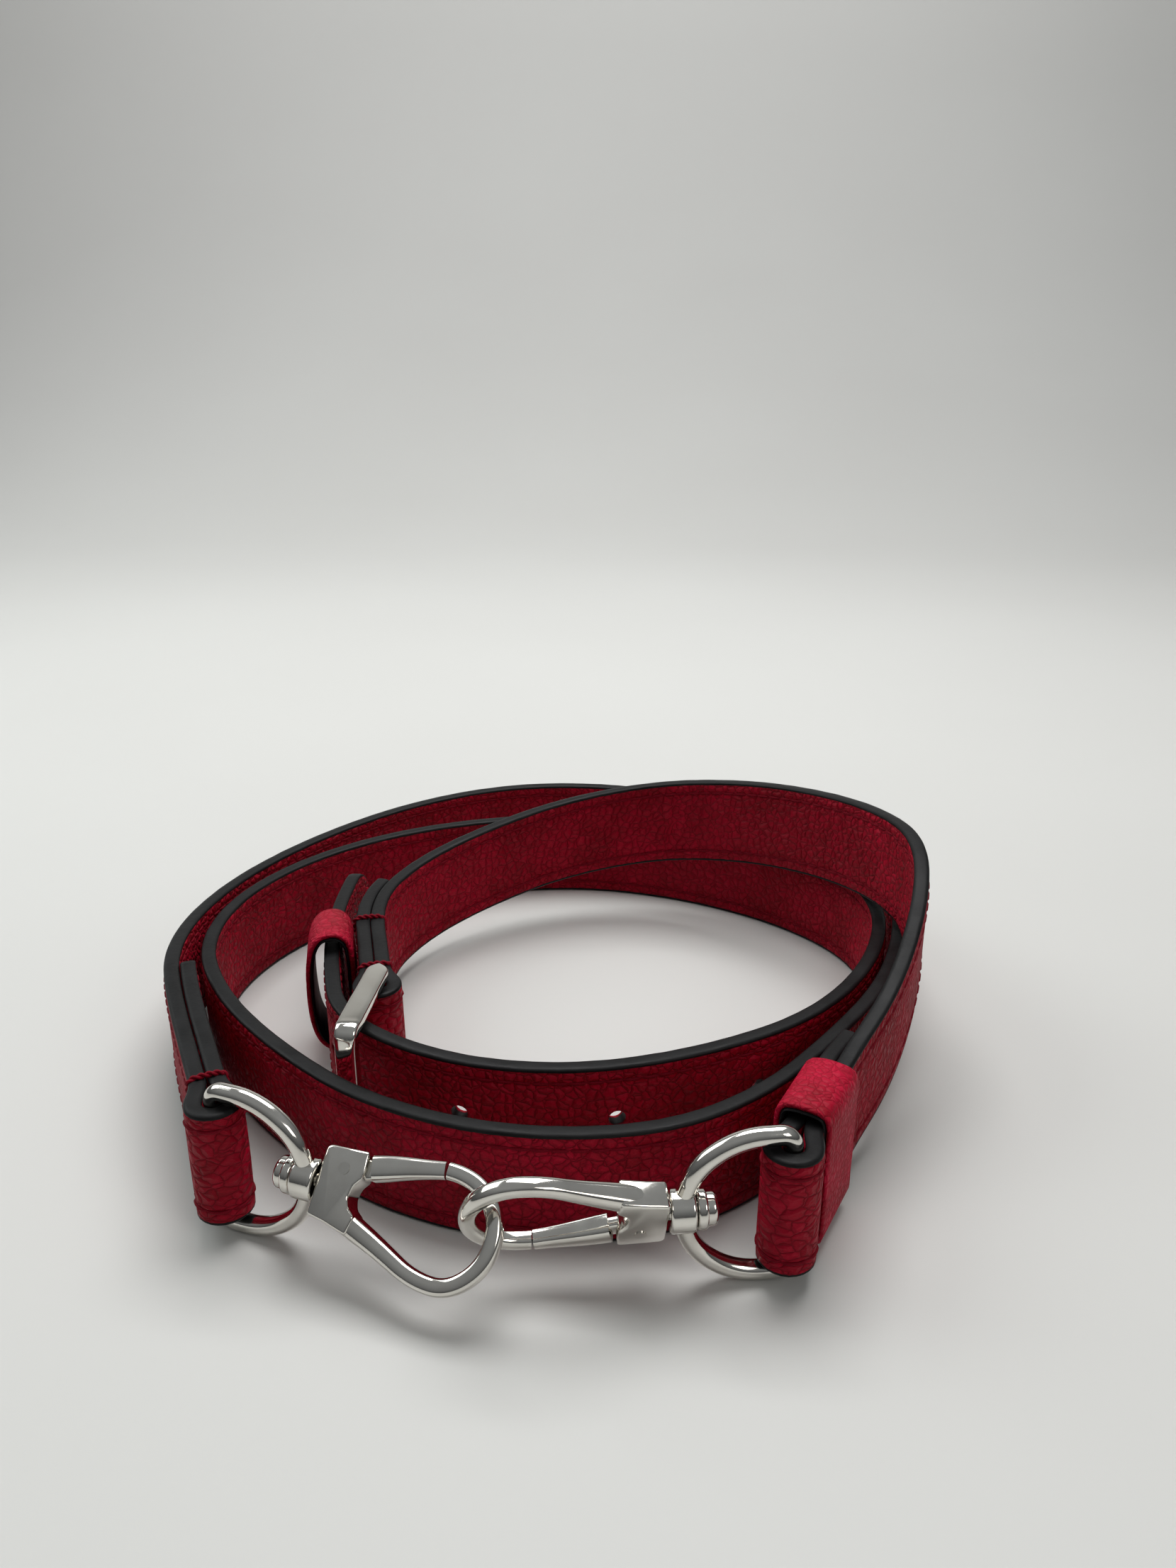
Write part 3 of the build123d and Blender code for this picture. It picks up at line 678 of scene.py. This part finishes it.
sleeve_middle = cad_middle("keeper_sleeve")
sleeve_heading = flat(Vector(SHORT_ROUTE[0]) - Vector((*RIGHT_BAR, LIFT)))
sleeve_left = Vector((-sleeve_heading.y, sleeve_heading.x, 0.0))
sleeve_centre = Vector((sleeve_middle.x, sleeve_middle.y, BAR_HIGH)) - sleeve_left * FOLD_HALF
sleeve_centre += sleeve_heading * SLEEVE_AHEAD
sleeve_round = crosswise(sleeve_centre, sleeve_heading, SLEEVE_SHAPE, KEEPER_STEP)
keeper("keeper_sliding", "keeper_sleeve", "sleeve", sleeve_round, SLEEVE_LONG, 9.0)


def thread_tack(node):
    """Two twisted strands taken over the top edge of a strap and its tab."""
    middle = cad_middle(node)
    points = long_points if node == "tack_left_ring" else short_points
    along = flat(heading_near(points, middle))
    left = Vector((-along.y, along.x, 0.0))
    centre = Vector((middle.x, middle.y, LIFT + WIDTH))
    reach = FOLD_HALF + HALF - 0.05     # just inside the outer faces of the strap and its tab
    loop = [(-reach - 0.05, -2.8), (-reach - 0.15, -0.6), (-reach + 0.5, 0.35), (reach - 0.5, 0.35),
            (reach + 0.15, -0.6), (reach + 0.05, -2.8)]
    stations = crosswise(centre, left.cross(Vector((0, 0, 1))), loop, 0.12, False)
    bm = bmesh.new()
    for strand in (0, pi):
        def twist(station, across, up, strand=strand):
            turn = strand + station.far * 2.6
            return across + 0.24 * cos(turn), up + 0.24 * sin(turn)
        add_band(bm, stations, ring_outline(THREAD_R, 8), twist)
    close_up(bm)
    piece = put(node + "_thread", bm, THREAD, "strap")
    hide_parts(node)


for name in ("tack_left_ring", "tack_buckle_front", "tack_buckle_rear"):
    thread_tack(name)


# ---------------------------------------------------------------- metal
SHARP = radians(50)               # edges that turn more than this stay sharp in the shading

# Each hook's bar, and its yaw and roll in degrees.
HOOKS = {"left": (LEFT_BAR, -20.0, 45.6), "right": (RIGHT_BAR, 185.9, -113.0)}
SWIVEL_AT = 16.0                  # from the strap's bar, along the hook

# Hooks are drawn in their own plane: x from the swivel to the round end, y towards the gate.
ARM = [(5.6, -3.6), (9.0, -4.9), (14.5, -7.0), (20.3, -9.6), (26.23, -9.9), (30.8, -5.33), (30.8, 1.13),
       (26.23, 5.7), (21.7, 5.75)]
GATE_BAR = [(9.75, 3.45), (13.5, 4.35), (17.5, 5.1), (21.3, 5.7)]
CHEEKS = [(2.2, -4.9), (2.2, 4.9), (2.9, 5.4), (9.3, 5.55), (9.45, 3.0), (9.3, 1.5), (8.3, 0.4), (7.9, -1.2),
          (8.4, -2.6), (9.8, -3.6), (9.2, -6.4), (5.2, -5.4)]
CHEEK_THICK = 4.2
CHEEK_ROUND = 0.45
TONGUE = [(4.6, 1.9), (7.5, 2.7), (10.5, 3.4)]

# Half sizes of a bar's section, in the hook's plane and across it, at its start and at its end.
ARM_START, ARM_END, ARM_TAPER = (1.75, 2.0), (1.3, 1.3), 15.0
GATE_START, GATE_END, GATE_TAPER = (1.95, 1.95), (1.32, 1.35), 12.0
TONGUE_SIZE = (1.5, 0.9)


def flat_stations(points, step, to_frame):
    """Stations of a bar that follows a route in a plane, given in that plane's own axes."""
    line = spline([Vector((x, y, 0.0)) for x, y in points])
    total = length_of(line)
    count = round(total / step)
    distances = [total * number / count for number in range(count + 1)]
    turn = to_frame.to_3x3()
    stations = []
    for distance, (point, way) in zip(distances, walk(line, distances)):
        heading = flat(way)
        across = Vector((-heading.y, heading.x, 0.0))
        stations.append(Station(to_frame @ point, turn @ across, turn @ Vector((0, 0, 1)), distance, 0.0))
    return stations


def cushion_outline(power, count=28):
    """A unit section between a circle (power 1) and a square (power near 0)."""
    section = []
    for number in range(count):
        turn = 2 * pi * number / count
        across = copysign(abs(cos(turn)) ** power, cos(turn))
        up = copysign(abs(sin(turn)) ** power, sin(turn))
        section.append((across, up))
    return section


def tapering(start_size, end_size, run, nose=0.0):
    """A bar's half sizes along it, with a rounded start where nose is given."""
    def vary(station, across, up):
        share = min(1.0, station.far / run)
        share = share * share * (3 - 2 * share)
        wide = start_size[0] + (end_size[0] - start_size[0]) * share
        high = start_size[1] + (end_size[1] - start_size[1]) * share
        tuck = 1.0 if station.far >= nose else sqrt(max(0.05, 1 - (1 - station.far / nose) ** 2))
        return across * wide * tuck, up * high * tuck
    return vary


def hook_place(side):
    bar_at, yaw, roll = HOOKS[side]
    place = Matrix.Translation(Vector((*bar_at, BAR_HIGH)) + PLAN_SHIFT)
    place = place @ Matrix.Rotation(radians(yaw), 4, "Z") @ Matrix.Translation((SWIVEL_AT, 0, 0))
    return place @ Matrix.Rotation(radians(roll), 4, "X")


def snap_hook(side):
    """The hook's cheeks and round arm, and the gate that closes it."""
    place = hook_place(side)
    bm = bmesh.new()
    corners = [bm.verts.new(place @ Vector((x, y, -CHEEK_THICK / 2)) * MM) for x, y in CHEEKS]
    plate = bm.faces.new(corners)
    raised = bmesh.ops.extrude_face_region(bm, geom=[plate])["geom"]
    lift = place.to_3x3() @ Vector((0, 0, CHEEK_THICK)) * MM
    bmesh.ops.translate(bm, vec=lift, verts=[part for part in raised if isinstance(part, bmesh.types.BMVert)])
    bmesh.ops.recalc_face_normals(bm, faces=bm.faces)
    sharp = [edge for edge in bm.edges if edge.calc_face_angle(0.0) > radians(20)]
    bmesh.ops.bevel(bm, geom=sharp, offset=CHEEK_ROUND * MM, segments=3, profile=0.5, affect="EDGES",
                    material=-1)
    arm = flat_stations(ARM, 0.5, place)
    add_band(bm, arm, cushion_outline(0.72), tapering(ARM_START, ARM_END, ARM_TAPER))
    close_up(bm)
    body = put(f"hook_{side}_body", bm, NICKEL, "hook_" + side)
    body.data.set_sharp_from_angle(angle=SHARP)
    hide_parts("hook_" + side)
    bm = bmesh.new()
    bar_run = flat_stations(GATE_BAR, 0.5, place)
    add_band(bm, bar_run, cushion_outline(0.6), tapering(GATE_START, GATE_END, GATE_TAPER, 0.5))
    tongue = flat_stations(TONGUE, 0.4, place)
    add_band(bm, tongue, cushion_outline(0.5), tapering(TONGUE_SIZE, TONGUE_SIZE, 5.0))
    close_up(bm)
    bar = put(f"gate_{side}_bar", bm, NICKEL, "gate_" + side)
    bar.data.set_sharp_from_angle(angle=SHARP)
    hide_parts("gate_" + side)


BUCKLE_FRONT = Vector((-39.8, -57.0))
BUCKLE_PIN_R = 1.5
BUCKLE_PIN_LONG = 22.0

# The rail from the bar's top end to the middle of the front, and then the same mirrored.
BUCKLE_RAIL = [(-2.2, 11.7), (0.5, 11.75), (9.0, 11.75), (16.5, 11.75), (18.9, 11.6), (19.1, 9.0),
               (19.0, 3.0)]
BUCKLE_RAIL += [(x, -y) for x, y in reversed(BUCKLE_RAIL)]
RAIL_ENDS = 2.0                   # run of the rail's rounded ends
FRONT_FROM, FRONT_OVER = 19.0, 4.0     # where the rail starts to turn into the front, and over how far


def buckle():
    """A flat-railed frame on a round bar: x from the bar to the front, y up in its own plane."""
    way = BUCKLE_FRONT - BUCKLE_BAR
    along = Vector((way.x, way.y, 0.0)).normalized()
    rise = Vector((0, 0, 1))
    turn = Matrix((along, rise, along.cross(rise))).transposed().to_4x4()
    place = Matrix.Translation(Vector((*BUCKLE_BAR, BAR_HIGH)) + PLAN_SHIFT) @ turn
    stations = flat_stations(BUCKLE_RAIL, 0.45, place)
    total = stations[-1].far

    def rail(station, across, up):
        end = min(station.far, total - station.far)
        tuck = 1.0 if end > RAIL_ENDS else sqrt(max(0.02, 1 - (1 - end / RAIL_ENDS) ** 2))
        front = max(0.0, min(1.0, (end - FRONT_FROM) / FRONT_OVER))
        return across * (1.15 + 0.35 * front), up * (2.1 - 0.25 * front) * tuck

    bm = bmesh.new()
    add_band(bm, stations, cushion_outline(0.5), rail)
    close_up(bm)
    upright = place @ Matrix.Rotation(pi / 2, 4, "X")
    upright.translation = upright.translation * MM
    bmesh.ops.create_cone(bm, cap_ends=True, segments=32, radius1=BUCKLE_PIN_R * MM,
                          radius2=BUCKLE_PIN_R * MM, depth=BUCKLE_PIN_LONG * MM, matrix=upright)
    frame_piece = put("buckle_frame_polished", bm, NICKEL, "buckle")
    frame_piece.data.set_sharp_from_angle(angle=SHARP)
    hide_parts("buckle_frame")


snap_hook("left")
snap_hook("right")
buckle()
for name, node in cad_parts.items():
    if name.startswith(("ring_", "hook_", "gate_", "swivel_", "buckle_")):
        node.data.materials.clear()
        node.data.materials.append(NICKEL)


# ---------------------------------------------------------------- floor, light and camera
TABLE_HALF = 3.5
TABLE_FORWARD = 2.4               # the tabletop's middle is this far in front of the object
WALL_HIGH, WALL_LEAN = 1.6, 0.2
COVE = 0.5                        # bend from the tabletop up to the wall

CAMERA_AT = (7.3, -216.1, 129.6)
CAMERA_TILT = 70.0                # degrees up from looking straight down
CAMERA_SENSOR = 36.0
CAMERA_LENS = 27.0488


def floor():
    """A pale tabletop that curves up into a wall behind the object."""
    bm = bmesh.new()
    bmesh.ops.create_grid(bm, x_segments=1, y_segments=1, size=1.0)
    back = [edge for edge in bm.edges if all(vertex.co.y > 0 for vertex in edge.verts)]
    raised = bmesh.ops.extrude_edge_only(bm, edges=back)["geom"]
    wall = [part for part in raised if isinstance(part, bmesh.types.BMVert)]
    bmesh.ops.translate(bm, vec=(0, WALL_LEAN, WALL_HIGH), verts=wall)
    bmesh.ops.scale(bm, vec=(TABLE_HALF, TABLE_HALF, 1.0), verts=bm.verts)
    bmesh.ops.translate(bm, vec=(0, -TABLE_FORWARD, 0), verts=bm.verts)
    ridge = [edge for edge in bm.edges if all(abs(end.co.z) < 1e-6 and end.co.y > 0 for end in edge.verts)]
    bmesh.ops.bevel(bm, geom=ridge, offset=COVE, segments=16, profile=0.5, affect="EDGES", material=-1)
    mesh = bpy.data.meshes.new("tabletop")
    bm.to_mesh(mesh)
    bm.free()
    mesh.materials.append(floor_finish())
    mesh.shade_smooth()
    table = bpy.data.objects.new("tabletop", mesh)
    bpy.context.scene.collection.objects.link(table)


def lamp(name, place, target, size, power, colour=(1.0, 1.0, 1.0)):
    data = bpy.data.lights.new(name, "AREA")
    data.shape = "RECTANGLE"
    data.size, data.size_y = size
    data.energy = power
    data.color = colour
    made = bpy.data.objects.new(name, data)
    made.location = place
    made.rotation_euler = (Vector(target) - Vector(place)).to_track_quat("-Z", "Y").to_euler()
    bpy.context.scene.collection.objects.link(made)


def sky():
    world = bpy.data.worlds.new("studio")
    bpy.context.scene.world = world
    world.use_nodes = True
    wires = Wiring(world.node_tree)
    way = wires.add("ShaderNodeTexCoord").outputs["Generated"]
    high = wires.add("ShaderNodeSeparateXYZ", Vector=way).outputs["Z"]
    back = world.node_tree.nodes["Background"]
    wires.join(wires.mix(wires.spread(high, -0.1, 0.75), (0.06, 0.06, 0.063, 1.0), (0.60, 0.62, 0.63, 1.0)),
               back.inputs["Color"])
    back.inputs["Strength"].default_value = 0.42


def camera():
    data = bpy.data.cameras.new("camera")
    data.sensor_fit = "VERTICAL"
    data.sensor_height = CAMERA_SENSOR
    data.lens = CAMERA_LENS
    made = bpy.data.objects.new("camera", data)
    made.location = Vector(CAMERA_AT) * MM
    made.rotation_euler = (radians(CAMERA_TILT), 0.0, 0.0)
    bpy.context.scene.collection.objects.link(made)
    bpy.context.scene.camera = made


bpy.context.scene.view_settings.view_transform = "Standard"
floor()
lamp("overhead", (0.05, 0.22, 0.7), (0.0, 0.06, 0.0), (0.55, 0.4), 4.6)
lamp("window", (-0.6, 0.25, 0.55), (0.0, 0.0, 0.0), (0.5, 0.5), 2.4, (0.93, 0.98, 0.97))
lamp("backdrop", (0.0, 0.75, 1.1), (0.0, 1.5, 0.3), (1.4, 0.5), 7.0)
lamp("fill", (0.5, -0.55, 0.5), (0.0, 0.0, 0.0), (0.3, 0.3), 1.0, (1.0, 0.97, 0.93))
sky()
camera()
